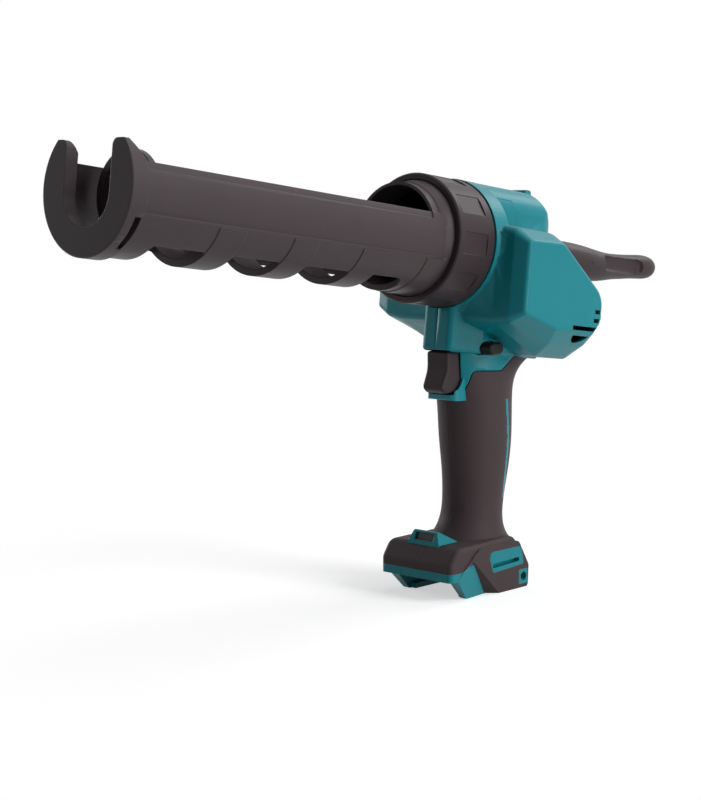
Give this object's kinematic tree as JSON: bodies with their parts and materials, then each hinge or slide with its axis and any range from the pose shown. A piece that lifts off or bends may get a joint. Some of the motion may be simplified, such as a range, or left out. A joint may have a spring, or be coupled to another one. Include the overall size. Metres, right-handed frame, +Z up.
{
  "type": "cordless caulking tool",
  "caption": "Hand-held cordless caulking tool with a turning half-pipe cartridge holder, rack-driven piston rod, trigger grip and an open battery foot.",
  "frame": {"origin": "centre of the battery seat, on the flat underside of the foot", "axes": "+X towards the muzzle, +Y to the tool's left, +Z up along the handle"},
  "size_m": [0.4389, 0.102, 0.235],
  "materials": {
    "teal_shell": "satin",
    "soft_grip": "fine grained",
    "charcoal_plastic": "fine grained",
    "black_plastic": "matt",
    "clear_window": "clear",
    "circuit_board": "satin",
    "bright_steel": "ground",
    "brass": "turned",
    "cast_alloy": "cast"
  },
  "bodies": {
    "body": {"housing_left": "teal_shell", "housing_right": "teal_shell", "grip_left": "soft_grip", "grip_right": "soft_grip", "housing_screws": "bright_steel", "led_bezel": "teal_shell", "led_lens": "clear_window", "led_board": "circuit_board", "control_board": "circuit_board", "terminal_block": "charcoal_plastic", "contact_blades": "brass", "hook_insert_left": "brass", "hook_insert_right": "brass", "switch_body": "black_plastic", "nose": "black_plastic", "rod_bush_front": "brass", "rod_bush_rear": "brass", "gearbox_case": "cast_alloy", "gear_frame": "cast_alloy", "shaft_bush_left": "brass", "shaft_bush_right": "brass", "motor_can": "bright_steel", "motor_cap": "black_plastic"},
    "trigger": {"trigger": "charcoal_plastic"},
    "lock": {"lock_button": "charcoal_plastic"},
    "holder": {"cartridge_holder": "charcoal_plastic"},
    "ring": {"lock_ring": "charcoal_plastic"},
    "rod": {"rack_rod": "bright_steel", "piston": "charcoal_plastic", "piston_bolt": "bright_steel", "pull_grip": "charcoal_plastic", "grip_pin": "bright_steel"},
    "pinion": {"rack_pinion": "bright_steel", "pinion_gear": "bright_steel", "pinion_shaft": "bright_steel"},
    "output": {"output_gear": "bright_steel", "output_shaft": "bright_steel"}
  },
  "joints": [
    {"name": "rod_feed", "type": "slide", "parent": "body", "child": "rod", "axis": [0.9936, 0, 0.1132], "range_m": [-0.198, 0.008]},
    {"name": "pinion_turn", "type": "hinge", "parent": "body", "child": "pinion", "pos_m": [-0.01947, 0, 0.15763], "axis": [0, 1, 0], "continuous": true},
    {"name": "output_turn", "type": "hinge", "parent": "body", "child": "output", "pos_m": [-0.04765, 0, 0.13933], "axis": [0, 1, 0], "continuous": true},
    {"name": "holder_turn", "type": "hinge", "parent": "body", "child": "holder", "pos_m": [0.0364, 0, 0.1796], "axis": [0.9936, 0, 0.1132], "continuous": true},
    {"name": "ring_turn", "type": "hinge", "parent": "body", "child": "ring", "pos_m": [0.0364, 0, 0.1796], "axis": [0.9936, 0, 0.1132], "range_deg": [-90, 0]},
    {"name": "trigger_pull", "type": "slide", "parent": "body", "child": "trigger", "axis": [-1, 0, 0], "range_m": [0, 0.006], "stiffness_N_per_m": 500, "springref_m": -0.004},
    {"name": "lock_slide", "type": "slide", "parent": "body", "child": "lock", "axis": [0, -1, 0], "range_m": [0, 0.006]}
  ],
  "couplings": [
    {"joint": "pinion_turn", "follows": "rod_feed", "rad_per_m": 95.238},
    {"joint": "output_turn", "follows": "rod_feed", "rad_per_m": -109.89}
  ]
}
